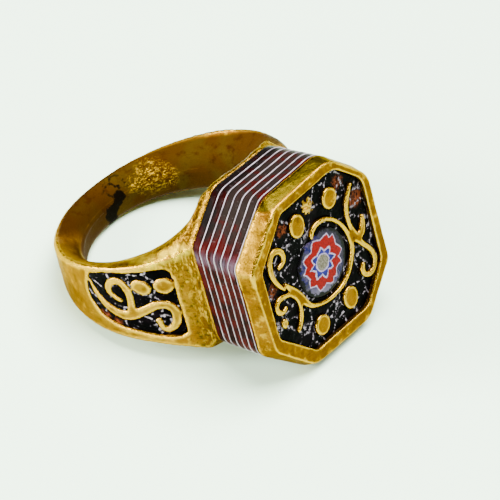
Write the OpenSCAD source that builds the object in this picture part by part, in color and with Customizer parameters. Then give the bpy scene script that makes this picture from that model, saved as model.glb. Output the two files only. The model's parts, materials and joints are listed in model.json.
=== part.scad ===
// Cast bronze finger ring, lying on its side.
// A tapered band carries a square head with cut corners: a stack of thin dark
// and white plates under a cast cap with raised scrolls, black enamel and a
// patterned glass disc. The ring leans on the cap's edge and the band's back.

/* [Finger hole] */
// Radius of the finger hole
bore_r = 9.5; // [9.3:0.1:9.6]

/* [Band] */
// Half of the band's width at its back
back_half = 1.75; // [1.5:0.05:2]
// How far the band's outer face bulges past its edges at the back
bulge = 0.4; // [0.1:0.05:0.6]
// Depth of the enamel panel in each shoulder
panel_depth = 0.5; // [0.4:0.05:0.6]
// Rise of the shoulder scroll above the panel's floor
scroll_rise = 0.42; // [0.35:0.01:0.48]

/* [Head] */
// Distance from the middle of the hole to the head's back
head_back = 9.3; // [9.3:0.05:9.6]
// Distance from the middle of the hole to the first plate
plates_start = 9.97; // [9.9:0.01:10.1]
// Distance from the middle of one white line to the next
line_pitch = 0.869; // [0.8:0.001:0.9]
// Thickness of a white line
white_t = 0.24; // [0.15:0.01:0.35]
// Middle of the first white line
first_line = 10.8; // [10.7:0.01:10.9]
// Thickness of the dark seam before the cap
seam_t = 0.19; // [0.15:0.01:0.3]
// Height of the cap from its back edge to its rim
cap_t = 1.55; // [1.5:0.05:1.8]
// Depth of the recess in the cap
recess_depth = 0.72; // [0.6:0.02:0.76]
// Rise of the cap's scrolls above the recess floor
relief_rise = 0.6; // [0.5:0.01:0.64]
// Depth of the black enamel in the recess and in the panels
enamel_t = 0.22; // [0.15:0.01:0.3]
// Radius of the glass disc
disc_r = 3.3; // [3:0.05:3.4]
// Thickness of the glass disc at its middle
disc_t = 0.5; // [0.4:0.05:0.6]

/* [Hidden] */
$fn = 96;
eps = 0.01;
fit_gap = 0.02;

// Number of white lines
line_count = 6;
// How far the cap's back edge stands out past the plates
lip_proud = 0.06;

// Levels along the head, measured from the middle of the hole
last_line = first_line + (line_count - 1) * line_pitch;
plates_end = last_line + white_t / 2 + seam_t;
cap_back = plates_end + fit_gap;
rim_level = cap_back + cap_t;
floor_level = rim_level - recess_depth;
relief_top = floor_level + relief_rise;

// The head's outline: one row a corner, from the near top corner round.
// Columns: across and along the finger at the head's back, the same at the
// cap's back edge, the same at the cap's rim, and the corner's radius.
ACROSS_BACK = 0;
ALONG_BACK = 1;
ACROSS_CAP = 2;
ALONG_CAP = 3;
ACROSS_RIM = 4;
ALONG_RIM = 5;
CORNER_R = 6;
CORNERS = [
    [-8.55,  6.0, -9.1,  5.0, -8.9,  4.9, 0.9],
    [-4.3,   9.7, -3.9,  9.5, -4.2,  8.95, 1.8],
    [ 3.7,   9.4,  3.9,  9.5,  4.0,  9.2, 2.6],
    [ 8.0,   5.2,  8.5,  5.0,  8.2,  4.9, 2.6],
    [ 8.0,  -4.4,  8.5, -4.9,  8.25, -4.3, 1.2],
    [ 4.0,  -7.2,  4.1, -8.95, 4.05, -8.35, 1.9],
    [-4.4,  -7.2, -3.8, -8.95, -4.0, -8.4, 2.4],
    [-8.35, -4.7, -9.0, -4.35, -8.3, -4.2, 1.8]
];
CORNER_STEPS = 4;

// The recess in the cap: across, along the finger, and the corner's radius
RECESS = [
    [-7.55, 4.2, 0.8], [-3.6, 8.0, 0.9], [4.2, 8.1, 2.2], [7.4, 4.9, 2.2],
    [7.3, -3.9, 1.2], [4.2, -7.2, 1.2], [-3.3, -7.2, 0.9], [-7.5, -3.2, 0.9]
];

// The band: one row a section, from the back to the head, half a turn.
// Columns: angle of the outer face and of the hole's wall, both from the
// back, radius of the face on the near and the far side, half widths at the
// outer edge, at the hole on the top side and on the under side, and how far
// the hole's upper edge is rounded on the near and the far side.
FACE_ANGLE = 0;
HOLE_ANGLE = 1;
NEAR_R = 2;
FAR_R = 3;
EDGE_HALF = 4;
HOLE_TOP = 5;
HOLE_UNDER = 6;
ROUND_NEAR = 7;
ROUND_FAR = 8;
SECTIONS = [
    [  0,   0, 11.85, 11.85, back_half, back_half - 0.1, back_half + 0.1, 1.3, 1.3],
    [ 25,  25, 11.9,  11.9,  1.95, 1.68, 1.85, 1.2,  1.3],
    [ 45,  45, 12.0,  12.0,  2.35, 1.78, 1.85, 1.0,  1.3],
    [ 70,  70, 12.15, 12.1,  3.05, 2.0,  2.0,  0.6,  1.3],
    [ 90,  92, 12.2,  11.85, 3.65, 3.25, 3.25, 0.5,  1.3],
    [105, 110, 12.25, 11.6,  4.0,  4.6,  4.5,  0.5,  1.2],
    [115, 125, 12.3,  11.4,  4.3,  5.75, 5.4,  0.5,  1.0],
    [125, 140, 12.4,  11.3,  4.75, 7.25, 6.5,  0.5,  0.7],
    [131, 150, 12.5,  11.4,  5.1,  8.7,  6.8,  0.5,  0.5],
    [136, 158, 12.56, 11.75, 5.45, 9.3,  6.9,  0.5,  0.5]
];
SECTION_STEPS = 4;
ROUND_STEPS = 3;
// Angle of the rounding's first point, so that it meets the wall at a clear angle
ROUND_FROM = 35;

// The lean: the cap's lower back edge and the band's back lie on the table
cap_low = -head_corner(CORNERS[5], 1, lip_proud)[1];
back_edge_r = SECTIONS[0][NEAR_R] - bulge;
lean = atan2(cap_low - back_half, cap_back + back_edge_r);
drop = cap_low * cos(lean) - cap_back * sin(lean);
front_reach = rim_level * cos(lean) - CORNERS[5][ALONG_RIM] * sin(lean);
back_reach = SECTIONS[0][NEAR_R] * cos(lean) + back_half * 0.7 * sin(lean);
middle_x = (front_reach - back_reach) / 2;

// Points on a smooth curve through the rows of a table
function cubic(a, b, c, d, t) =
    0.5 * ((2 * b) + (c - a) * t + (2 * a - 5 * b + 4 * c - d) * t * t
    + (3 * b - a - 3 * c + d) * t * t * t);
function row_at(rows, i) = rows[max(0, min(len(rows) - 1, i))];
function smooth(rows, steps) = [
    for (i = [0 : len(rows) - 2], s = [0 : steps - 1])
        cubic(row_at(rows, i - 1), rows[i], rows[i + 1], row_at(rows, i + 2), s / steps),
    rows[len(rows) - 1]
];

function unit(v) = v / norm(v);
function flat(lists) = [for (l = lists, p = l) p];

// Places of a table's rows, without the radius in their last column
function places(rows) = [for (row = rows) [row[0], row[1]]];

// A corner of an outline as a short arc
function arc_corner(before, corner, after, r, steps) =
    let (
        to_before = unit(before - corner),
        to_after = unit(after - corner),
        bend = acos(to_before * to_after),
        reach = r / tan(bend / 2),
        middle = corner + unit(to_before + to_after) * (r / sin(bend / 2)),
        start = corner + to_before * reach - middle,
        finish = corner + to_after * reach - middle,
        turn = 180 - bend
    ) [
        for (k = [0 : steps])
            let (w = k / steps)
            middle + (start * sin((1 - w) * turn) + finish * sin(w * turn)) / sin(turn)
    ];
function rounded(points, radii, steps) = flat([
    for (i = [0 : len(points) - 1])
        arc_corner(
            points[(i + len(points) - 1) % len(points)], points[i],
            points[(i + 1) % len(points)], radii[i], steps
        )
]);
corner_radii = [for (row = CORNERS) row[CORNER_R]];

// The head's outline between its back (share 0) and the cap's back edge (1)
function head_corner(row, share, grow) =
    let (
        at_back = [row[ACROSS_BACK], row[ALONG_BACK]],
        at_cap = [row[ACROSS_CAP], row[ALONG_CAP]],
        p = at_back * (1 - share) + at_cap * share
    ) p + unit(p) * grow;
function head_outline(share, grow = 0) = rounded(
    [for (row = CORNERS) head_corner(row, share, grow)], corner_radii, CORNER_STEPS
);
function rim_outline() = rounded(
    [for (row = CORNERS) [row[ACROSS_RIM], row[ALONG_RIM]]], corner_radii, CORNER_STEPS
);
function share_at(level) = (level - head_back) / (cap_back - head_back);

// A closed solid through rings of points that all have the same count
function loft_faces(rings, count) = concat(
    [[for (i = [count - 1 : -1 : 0]) i]],
    [
        for (r = [0 : rings - 2], i = [0 : count - 1])
            let (a = r * count + i, b = r * count + (i + 1) % count)
            each [[a, b, b + count], [a, b + count, a + count]]
    ],
    [[for (i = [0 : count - 1]) (rings - 1) * count + i]]
);
module loft(rings) {
    polyhedron(flat(rings), loft_faces(len(rings), len(rings[0])));
}

// An outline of (across, along) points lifted to a level on the head
function lifted(outline, level) = [for (p = outline) [level, p[0], p[1]]];
module head_slab(from, to, grow = 0) {
    loft([
        lifted(head_outline(share_at(from), grow), from),
        lifted(head_outline(share_at(to), grow), to)
    ]);
}
// A straight prism on the head between two levels
module head_prism(from, to) {
    multmatrix([[0, 0, 1, from], [1, 0, 0, 0], [0, 1, 0, 0], [0, 0, 0, 1]])
        linear_extrude(to - from)
            children();
}

// A tapered stroke: rows of a path are [x, y, width]
STROKE_STEPS = 3;
function stroke_side(rows, side) = [
    for (i = [0 : len(rows) - 1])
        let (
            a = row_at(rows, i - 1),
            b = row_at(rows, i + 1),
            along = unit([b[0] - a[0], b[1] - a[1]])
        ) [rows[i][0], rows[i][1]] + [-along[1], along[0]] * side * rows[i][2] / 2
];
function reversed(list) = [for (i = [len(list) - 1 : -1 : 0]) list[i]];
function stroke_cap(rows) =
    let (
        last = rows[len(rows) - 1],
        prev = rows[len(rows) - 2],
        along = unit([last[0] - prev[0], last[1] - prev[1]]),
        across = [-along[1], along[0]]
    ) [
        for (a = [30, 60, 90, 120, 150])
            [last[0], last[1]] + (across * cos(a) + along * sin(a)) * last[2] / 2
    ];
function stroke_outline(rows) = concat(
    stroke_side(rows, 1), stroke_cap(rows),
    reversed(stroke_side(rows, -1)), stroke_cap(reversed(rows))
);
module stroke(rows) {
    polygon(stroke_outline(smooth(rows, STROKE_STEPS)));
}
module oval(centre, size, turn = 0) {
    translate(centre)
        rotate(turn)
            polygon([for (a = [0 : 20 : 340]) [size[0] * cos(a), size[1] * sin(a)]]);
}

// Scrolls on the cap: across, along the finger, width of the stroke
FACE_STROKES = [
    // Open wire round the disc
    [
        [-0.37, 3.35, 0.34], [-0.2, 3.75, 0.46], [0.2, 4.02, 0.48], [0.9, 4.16, 0.44],
        [1.98, 3.9, 0.38], [2.95, 3.1, 0.36], [3.7, 2.03, 0.38], [4.2, 0.6, 0.45],
        [4.25, -0.6, 0.48], [3.84, -1.62, 0.45], [3.0, -2.74, 0.42], [1.79, -3.45, 0.37],
        [0.1, -3.65, 0.35], [-1.4, -3.36, 0.35], [-2.5, -2.8, 0.45]
    ],
    // Blade and short arm above the right knot
    [
        [5.99, 5.2, 0.24], [5.37, 4.49, 0.45], [4.84, 3.62, 0.5], [4.58, 2.5, 0.45],
        [4.65, 1.4, 0.45], [5.0, 0.1, 0.65]
    ],
    [[6.45, 1.3, 0.42], [6.2, 0.5, 0.65], [5.75, -0.1, 0.8], [5.1, -0.25, 0.8]],
    // Right scroll
    [
        [5.1, -0.3, 0.6], [5.68, -1.26, 0.46], [6.29, -2.1, 0.46], [6.66, -2.95, 0.52],
        [6.62, -3.75, 0.55], [6.2, -4.35, 0.58], [5.6, -4.5, 0.54], [5.0, -4.2, 0.5],
        [4.8, -3.65, 0.5], [5.05, -3.15, 0.46]
    ],
    // Bar of the left knot with its tip
    [
        [-4.96, 1.09, 0.3], [-4.35, 0.13, 0.66], [-3.77, -0.74, 0.76], [-3.33, -1.59, 0.76],
        [-2.87, -2.36, 0.56], [-2.33, -2.94, 0.4]
    ],
    // Upper left scroll
    [
        [-5.25, 0.75, 0.24], [-5.81, 1.59, 0.4], [-6.22, 2.52, 0.49], [-6.33, 3.49, 0.56],
        [-6.15, 4.3, 0.6], [-5.65, 4.85, 0.62], [-5.0, 4.85, 0.62], [-4.5, 4.4, 0.56],
        [-4.35, 3.75, 0.52], [-4.65, 3.28, 0.48], [-5.2, 3.15, 0.4]
    ],
    // Lower left curl
    [
        [-4.5, -0.2, 0.4], [-5.45, 0.13, 0.46], [-6.2, 0.2, 0.52], [-6.7, -0.2, 0.52],
        [-6.65, -0.85, 0.5], [-6.1, -1.2, 0.46], [-5.62, -1.02, 0.36]
    ],
    // Long arc under the left knot
    [
        [-4.5, -0.35, 0.4], [-4.05, -1.0, 0.36], [-3.84, -1.8, 0.38], [-3.9, -2.6, 0.42],
        [-4.12, -3.2, 0.44], [-4.42, -3.7, 0.4], [-4.8, -4.1, 0.26]
    ]
];
// Ovals on the cap: across, along, half sizes
FACE_OVALS = [
    [-1.77, 5.5, 0.98, 1.2], [2.98, 5.55, 0.97, 1.07], [2.5, -5.14, 0.95, 1.15],
    [-1.75, -5.42, 0.96, 1.0], [-6.25, -2.33, 0.38, 0.48]
];
disc_at = [0.22, 0.2];
// The disc's edge is cut straight on one side: its direction and distance
disc_cut_turn = 98;
disc_cut_at = 2.9;

// Scroll on each shoulder: angle from the side towards the head, distance
// along the finger, width of the stroke
SHOULDER_STROKES = [
    // Leaf tail, body and right spiral
    [
        [-3.7, 1.95, 0.25], [-2.5, 1.0, 0.5], [-0.6, 0.24, 0.7], [2.3, -0.55, 0.85],
        [6.3, -1.08, 0.95], [10.9, -1.4, 1.05], [15.4, -1.25, 1.1], [19.0, -0.98, 0.95],
        [22.8, -0.6, 0.9], [26.4, -0.27, 0.9], [29.5, -0.2, 0.9], [32.5, -0.38, 0.9],
        [34.5, -0.9, 0.85], [34.9, -1.5, 0.85], [34.2, -2.2, 0.85], [32.0, -2.75, 0.7],
        [29.3, -2.92, 0.65], [27.3, -2.6, 0.6], [26.6, -1.9, 0.6]
    ],
    // Left spiral
    [
        [14.8, -1.0, 0.8], [15.4, -0.2, 0.8], [15.7, 0.7, 0.8], [15.2, 1.5, 0.8],
        [13.6, 2.15, 0.8], [11.0, 2.45, 0.75], [7.6, 2.15, 0.75], [5.7, 1.45, 0.7],
        [6.8, 0.85, 0.6], [9.0, 0.45, 0.5], [11.0, 0.25, 0.45]
    ]
];
// Ovals: angle, distance along the finger, half sizes and turn
SHOULDER_OVALS = [[22.3, 1.81, 1.0, 0.8, -30], [32.6, 1.82, 0.97, 0.88, 0]];
// The panel: angle from the side towards the head, distance along the finger
PANEL = [
    [-6.6, 0.74], [-5.5, 1.8], [-3.0, 2.75], [3.8, 3.2], [11.0, 3.42], [19.6, 3.5],
    [27.8, 3.65], [34.8, 3.78], [37.4, 3.45], [38.2, 2.5], [38.0, 0.8], [38.2, -1.1],
    [38.6, -2.8], [38.3, -3.35], [35.1, -3.62], [29.4, -3.52], [23.7, -3.3],
    [16.0, -2.92], [8.5, -2.6], [3.4, -2.2], [-0.9, -1.73], [-3.5, -1.0], [-6.0, -0.2]
];
panel_middle = 16.5;
panel_r = 12.2;
// Each shoulder's face is round: its radius and its middle along the head
NEAR_FACE = [panel_r, 0];
FAR_FACE = [11.7, -0.5];
function face_of(side) = side < 0 ? NEAR_FACE : FAR_FACE;

// Angle and height on the shoulder as a point on the panel's flat drawing
function on_panel(p) = [panel_r * sin(p[0] - panel_middle), p[1]];
function stroke_on_panel(rows) = [
    for (p = rows) [on_panel(p)[0], p[1], p[2]]
];

// The rounding from the hole's wall, along (h, w) from the axis, up to a height
function rounded_edge(h, w, top, r) = [
    for (k = [1 : ROUND_STEPS])
        let (
            a = ROUND_FROM + (90 - ROUND_FROM) * (k - 1) / (ROUND_STEPS - 1),
            reach = bore_r + r * (1 - cos(a))
        )
        [h * reach, w * reach, top - r * (1 - sin(a))]
];
// Sections of the band
function band_section(row, side) =
    let (
        face_r = row[side < 0 ? NEAR_R : FAR_R],
        edge_r = face_r - bulge * max(0, cos(row[FACE_ANGLE] * 0.75)),
        inside_r = bore_r - 0.25,
        round_r = row[side < 0 ? ROUND_NEAR : ROUND_FAR],
        face_half = row[EDGE_HALF] - 0.3 - 0.25 * max(0, cos(row[FACE_ANGLE])),
        out_h = -cos(row[FACE_ANGLE]),
        out_w = sin(row[FACE_ANGLE]) * side,
        in_h = -cos(row[HOLE_ANGLE]),
        in_w = sin(row[HOLE_ANGLE]) * side
    ) [
        [in_h * inside_r, in_w * inside_r, row[HOLE_TOP] - 1.3 * round_r],
        each rounded_edge(in_h, in_w, row[HOLE_TOP], round_r),
        [out_h * edge_r, out_w * edge_r, row[EDGE_HALF]],
        [out_h * face_r, out_w * face_r, face_half],
        [out_h * face_r, out_w * face_r, -face_half],
        [out_h * edge_r, out_w * edge_r, -row[EDGE_HALF]],
        [in_h * inside_r, in_w * inside_r, -row[HOLE_UNDER]]
    ];
// The band's end inside the head's back, on the corners of the head's outline
function band_end(top, under, side) =
    let (
        level = head_back + 0.3,
        out_top = CORNERS[top][ACROSS_BACK] - 0.1 * side,
        out_under = CORNERS[under][ACROSS_BACK] - 0.1 * side,
        top_half = CORNERS[top][ALONG_BACK] - 0.1,
        under_half = CORNERS[under][ALONG_BACK] + 0.1
    ) [
        for (k = [0 : ROUND_STEPS]) [level, (2.9 + 0.05 * k) * side, 9.3],
        [level, out_top, top_half],
        [level, out_top, top_half - 0.35],
        [level, out_under, under_half + 0.35],
        [level, out_under, under_half],
        [level, 2.9 * side, CORNERS[5][ALONG_BACK] + 0.1]
    ];
// The smooth curve through the sections starts level at the back, because the
// second section is repeated on the other side of it
mirrored_section = [for (k = [0 : len(SECTIONS[1]) - 1]) SECTIONS[1][k] * (k < NEAR_R ? -1 : 1)];
all_rows = smooth(concat([mirrored_section], SECTIONS), SECTION_STEPS);
module band() {
    rows = [for (i = [SECTION_STEPS : len(all_rows) - 1]) all_rows[i]];
    loft(concat(
        [band_end(0, 7, -1)],
        [for (i = [len(rows) - 1 : -1 : 1]) band_section(rows[i], -1)],
        [for (i = [0 : len(rows) - 1]) band_section(rows[i], 1)],
        [band_end(3, 4, 1)]
    ));
}

// The shoulder's flat drawing pushed through the band from outside.
// side -1 is the near shoulder and 1 the far one.
module through_shoulder(side) {
    mirror([0, side > 0 ? 1 : 0, 0])
        rotate([0, 0, panel_middle])
            multmatrix([[1, 0, 0, 0], [0, 0, -1, 0], [0, 1, 0, 0], [0, 0, 0, 1]])
                translate([0, 0, panel_r - 3])
                    linear_extrude(4)
                        children();
}
module panel_outline(shrink = 0) {
    offset(delta = -shrink)
        polygon([for (p = PANEL) on_panel(p)]);
}
module shoulder_relief(grow = 0) {
    offset(delta = grow) {
        for (rows = SHOULDER_STROKES)
            stroke(stroke_on_panel(rows));
        for (o = SHOULDER_OVALS)
            oval(on_panel(o), [o[2], o[3]], o[4]);
    }
}
// The space between two depths under a shoulder's face
module shoulder_shell(side, deep, shallow) {
    face = face_of(side);
    translate([face[1], 0, -10])
        difference() {
            cylinder(r = face[0] - shallow, h = 20);
            translate([0, 0, -1])
                cylinder(r = face[0] - deep, h = 22);
        }
}

// The band with its panels, the head's back and the scrolls of the shoulders
module shank_metal() {
    difference() {
        union() {
            band();
            head_slab(head_back, plates_start - fit_gap);
        }
        for (side = [-1, 1]) {
            intersection() {
                through_shoulder(side)
                    difference() {
                        panel_outline();
                        shoulder_relief();
                    }
                shoulder_shell(side, panel_depth, -2);
            }
            intersection() {
                through_shoulder(side)
                    panel_outline();
                shoulder_shell(side, panel_depth - scroll_rise, -2);
            }
        }
        translate([0, 0, -20])
            cylinder(r = bore_r, h = 40);
    }
}
module shoulder_enamel(side) {
    intersection() {
        through_shoulder(side)
            difference() {
                panel_outline(fit_gap);
                shoulder_relief(fit_gap);
            }
        shoulder_shell(side, panel_depth - fit_gap, panel_depth - fit_gap - enamel_t);
    }
}

// The relief on the cap and what lies round it
module face_relief(grow = 0) {
    offset(delta = grow) {
        for (rows = FACE_STROKES)
            stroke(rows);
        for (o = FACE_OVALS)
            oval([o[0], o[1]], [o[2], o[3]]);
    }
}
module recess_outline(shrink = 0) {
    offset(delta = -shrink)
        polygon(rounded(places(RECESS), [for (row = RECESS) row[2]], CORNER_STEPS));
}
module cap_metal() {
    difference() {
        loft([
            lifted(head_outline(1, lip_proud), cap_back),
            lifted(head_outline(1, lip_proud), cap_back + 0.15),
            lifted(rim_outline(), rim_level)
        ]);
        head_prism(floor_level, rim_level + 1)
            recess_outline();
    }
    head_prism(floor_level - eps, relief_top)
        face_relief();
}
module cap_enamel() {
    head_prism(floor_level + fit_gap, floor_level + fit_gap + enamel_t)
        difference() {
            recess_outline(fit_gap);
            face_relief(fit_gap);
            disc_outline(fit_gap);
        }
}
module disc_outline(grow = 0) {
    translate(disc_at)
        difference() {
            circle(r = disc_r + grow);
            rotate(disc_cut_turn)
                translate([disc_cut_at + grow, -disc_r])
                    square(2 * disc_r);
        }
}
module disc_body() {
    base = floor_level + fit_gap;
    edge_t = disc_t * 0.7;
    intersection() {
        translate([base, disc_at[0], disc_at[1]])
            rotate([0, 90, 0])
                rotate_extrude()
                    polygon(concat(
                        [[0, 0], [disc_r, 0]],
                        [
                            for (a = [0 : 15 : 90])
                                [disc_r * cos(a), edge_t + (disc_t - edge_t) * sin(a)]
                        ]
                    ));
        head_prism(base - 1, base + 1)
            disc_outline();
    }
}

// From the ring's own axes to the ring as it lies on the table
module laid() {
    translate([-middle_x, 0, drop])
        rotate([0, -lean, 0])
            children();
}

module shank() {
    color("goldenrod")
        laid()
            shank_metal();
}
module dark_plate(i) {
    from = i == 1 ? plates_start : first_line + (i - 2) * line_pitch + white_t / 2 + fit_gap;
    to = i > line_count ? plates_end : first_line + (i - 1) * line_pitch - white_t / 2;
    color("#3a0f16")
        laid()
            head_slab(from, to);
}
module white_plate(i) {
    middle = first_line + (i - 1) * line_pitch;
    color("#d8d2d6")
        laid()
            head_slab(middle - white_t / 2 + fit_gap, middle + white_t / 2);
}
module face_cap() {
    color("goldenrod")
        laid()
            cap_metal();
}
module face_enamel() {
    color("#151214")
        laid()
            cap_enamel();
}
module glass_disc() {
    color("#6a6fb0")
        laid()
            disc_body();
}
module near_shoulder_enamel() {
    color("#151214")
        laid()
            shoulder_enamel(-1);
}
module far_shoulder_enamel() {
    color("#151214")
        laid()
            shoulder_enamel(1);
}

shank();
for (i = [1 : line_count + 1])
    dark_plate(i);
for (i = [1 : line_count])
    white_plate(i);
face_cap();
face_enamel();
glass_disc();
near_shoulder_enamel();
far_shoulder_enamel();
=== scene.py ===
import json
import math
from types import SimpleNamespace

import bmesh
import bpy
import numpy as np
from mathutils import Matrix, Vector, noise

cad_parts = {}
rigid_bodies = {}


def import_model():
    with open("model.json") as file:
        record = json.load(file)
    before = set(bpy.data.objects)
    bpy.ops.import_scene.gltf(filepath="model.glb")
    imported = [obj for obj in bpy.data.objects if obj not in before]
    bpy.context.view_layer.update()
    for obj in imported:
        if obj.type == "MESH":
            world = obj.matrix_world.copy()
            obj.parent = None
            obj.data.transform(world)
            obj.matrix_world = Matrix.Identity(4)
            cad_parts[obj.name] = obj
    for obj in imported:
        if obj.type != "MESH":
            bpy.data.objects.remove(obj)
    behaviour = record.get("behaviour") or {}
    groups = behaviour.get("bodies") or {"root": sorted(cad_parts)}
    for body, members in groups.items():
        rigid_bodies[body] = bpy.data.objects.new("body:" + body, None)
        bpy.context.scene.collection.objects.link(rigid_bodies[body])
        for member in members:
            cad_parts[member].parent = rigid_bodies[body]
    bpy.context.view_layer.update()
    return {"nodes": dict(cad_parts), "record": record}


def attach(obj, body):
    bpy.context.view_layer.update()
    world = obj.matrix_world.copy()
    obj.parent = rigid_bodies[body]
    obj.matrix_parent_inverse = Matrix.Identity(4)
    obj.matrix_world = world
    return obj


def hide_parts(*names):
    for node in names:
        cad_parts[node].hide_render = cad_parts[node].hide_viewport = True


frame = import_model()

# How the ring lies: its own axes are head, across and finger, in millimetres
# from the middle of the finger hole
MM = 0.001
HOLE = next(m for m in frame["record"]["mounts"] if m["name"] == "finger_hole")
HOLE_R = HOLE["dims"]["r_mm"]
HOLE_MIDDLE = Vector(HOLE["pos_m"])
FINGER = Vector(HOLE["axis"]).normalized()
HEAD = Vector((FINGER.z, 0.0, -FINGER.x))
ACROSS = Vector((0.0, 1.0, 0.0))
RING_AXES = np.array([HEAD, ACROSS, FINGER])


def direction(head, across, finger):
    return HEAD * head + ACROSS * across + FINGER * finger


def in_world(head, across, finger):
    """A place on the ring as a point in metres."""
    return HOLE_MIDDLE + direction(head, across, finger) * MM


def read_points(mesh):
    points = np.empty(len(mesh.vertices) * 3)
    mesh.vertices.foreach_get("co", points)
    return points.reshape(-1, 3)


def write_points(mesh, points):
    mesh.vertices.foreach_set("co", points.ravel())
    mesh.update()


def to_ring(points):
    return (points - np.array(HOLE_MIDDLE)) @ RING_AXES.T / MM


def to_world(points):
    return points @ RING_AXES * MM + np.array(HOLE_MIDDLE)


def add_object(name, data):
    new_object = bpy.data.objects.new(name, data)
    bpy.context.scene.collection.objects.link(new_object)
    return new_object


# Materials


# The colour sockets of a Mix node, whose names other sockets share
MIX_UNDER = 6
MIX_OVER = 7
MIX_RESULT = 2


class Paint:
    """The nodes of one material, with a short call for each step."""

    def __init__(self, name):
        self.material = bpy.data.materials.new(name)
        self.material.use_nodes = True
        self.tree = self.material.node_tree
        self.shader = self.tree.nodes["Principled BSDF"]

    def feed(self, socket, value):
        """Links a socket to another, or gives it a plain value."""
        if isinstance(value, bpy.types.NodeSocket):
            self.tree.links.new(value, socket)
        elif socket.type == "RGBA":
            socket.default_value = (*value, 1.0)
        else:
            socket.default_value = value

    def step(self, kind, *values, **settings):
        node = self.tree.nodes.new(kind)
        for key, value in settings.items():
            setattr(node, key, value)
        for socket, value in zip(node.inputs, values):
            self.feed(socket, value)
        return node

    def math(self, operation, *values):
        return self.step("ShaderNodeMath", *values, operation=operation).outputs[0]

    def vector_math(self, operation, *values, output="Vector"):
        return self.step("ShaderNodeVectorMath", *values, operation=operation).outputs[output]

    def times(self, *values):
        """The values multiplied together, from the left."""
        product = values[0]
        for value in values[1:]:
            product = self.math("MULTIPLY", product, value)
        return product

    def rest(self, mask):
        """1 where a mask is 0, and 0 where it is 1."""
        return self.math("SUBTRACT", 1.0, mask)

    def swing(self, cloud, width):
        """Noise as a shift to either side of 0."""
        return self.times(self.math("SUBTRACT", cloud, 0.5), width)

    def stretched(self, place, along):
        """A place scaled along the ring's axes, for noise that runs in streaks."""
        return self.vector_math("MULTIPLY", place, along)

    def moved(self, place, *along):
        """A place moved along the ring's axes."""
        return self.vector_math("ADD", place, self.step("ShaderNodeCombineXYZ", *along).outputs[0])

    def ring_place(self):
        """Where a point is on the ring, in millimetres along the ring's axes."""
        world = self.step("ShaderNodeTexCoord").outputs["Object"]
        from_middle = self.vector_math("SUBTRACT", world, HOLE_MIDDLE)
        along = [
            self.vector_math("DOT_PRODUCT", from_middle, axis / MM, output="Value")
            for axis in (HEAD, ACROSS, FINGER)
        ]
        return self.step("ShaderNodeCombineXYZ", *along).outputs[0]

    def parts(self, vector):
        return self.step("ShaderNodeSeparateXYZ", vector).outputs

    def noise(self, place, size, detail=3.0, roughness=0.5, seed=0.0):
        """Cloudy noise from 0 to 1 whose features are about that size in millimetres."""
        shifted = self.vector_math("ADD", place, (seed, 2.0 * seed, -seed))
        node = self.step("ShaderNodeTexNoise")
        self.feed(node.inputs["Vector"], shifted)
        self.feed(node.inputs["Scale"], 1.0 / size)
        self.feed(node.inputs["Detail"], detail)
        self.feed(node.inputs["Roughness"], roughness)
        return node.outputs[0]

    def cracks(self, place, size):
        """Distance to the nearest line of an irregular net."""
        node = self.step("ShaderNodeTexVoronoi", feature="DISTANCE_TO_EDGE")
        self.feed(node.inputs["Vector"], place)
        self.feed(node.inputs["Scale"], 1.0 / size)
        return node.outputs["Distance"]

    def rise(self, value, low, high):
        """0 below low and 1 above high, smooth between, or the other way round if low > high."""
        node = self.step("ShaderNodeMapRange", interpolation_type="SMOOTHSTEP")
        self.feed(node.inputs["Value"], value)
        self.feed(node.inputs["From Min"], low)
        self.feed(node.inputs["From Max"], high)
        return node.outputs[0]

    def mix(self, amount, under, over):
        """A colour between two others."""
        node = self.step("ShaderNodeMix", data_type="RGBA")
        self.feed(node.inputs["Factor"], amount)
        self.feed(node.inputs[MIX_UNDER], under)
        self.feed(node.inputs[MIX_OVER], over)
        return node.outputs[MIX_RESULT]

    def blend(self, amount, under, over):
        """A number between two others."""
        return self.math("ADD", self.times(amount, self.math("SUBTRACT", over, under)), under)

    def away_from(self, place, middle):
        return self.vector_math("DISTANCE", place, middle, output="Value")

    def spot(self, place, middle, radius, softness):
        """1 inside a round spot on the ring and 0 outside."""
        away = self.away_from(place, middle)
        return self.rise(away, radius * (1 + softness), radius * (1 - softness))

    def spots(self, place, rows, softness):
        """1 inside any of several round spots, given as middle and radius."""
        return self.any_of(*[self.spot(place, middle, radius, softness) for middle, radius in rows])

    def ragged_spot(self, place, middle, radius, shake, outside, inside):
        """1 inside a spot with a ragged edge, which fades from outside to inside its radius."""
        away = self.math("ADD", self.away_from(place, middle), shake)
        return self.rise(away, radius + outside, radius - inside)

    def any_of(self, *masks):
        total = masks[0]
        for mask in masks[1:]:
            total = self.math("MAXIMUM", total, mask)
        return total

    def edge(self):
        """How far the skin stands out from its surroundings, in millimetres."""
        return self.step("ShaderNodeAttribute", attribute_name="edge").outputs["Fac"]

    def bump(self, height, strength, distance_mm):
        node = self.step("ShaderNodeBump")
        self.feed(node.inputs["Strength"], strength)
        self.feed(node.inputs["Distance"], distance_mm * MM)
        self.feed(node.inputs["Height"], height)
        self.feed(self.shader.inputs["Normal"], node.outputs[0])

    def finish(self, **sockets):
        """Sets the shader's own sockets, named with _ for a space."""
        for name, value in sockets.items():
            self.feed(self.shader.inputs[name.replace("_", " ")], value)
        return self.material


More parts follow.
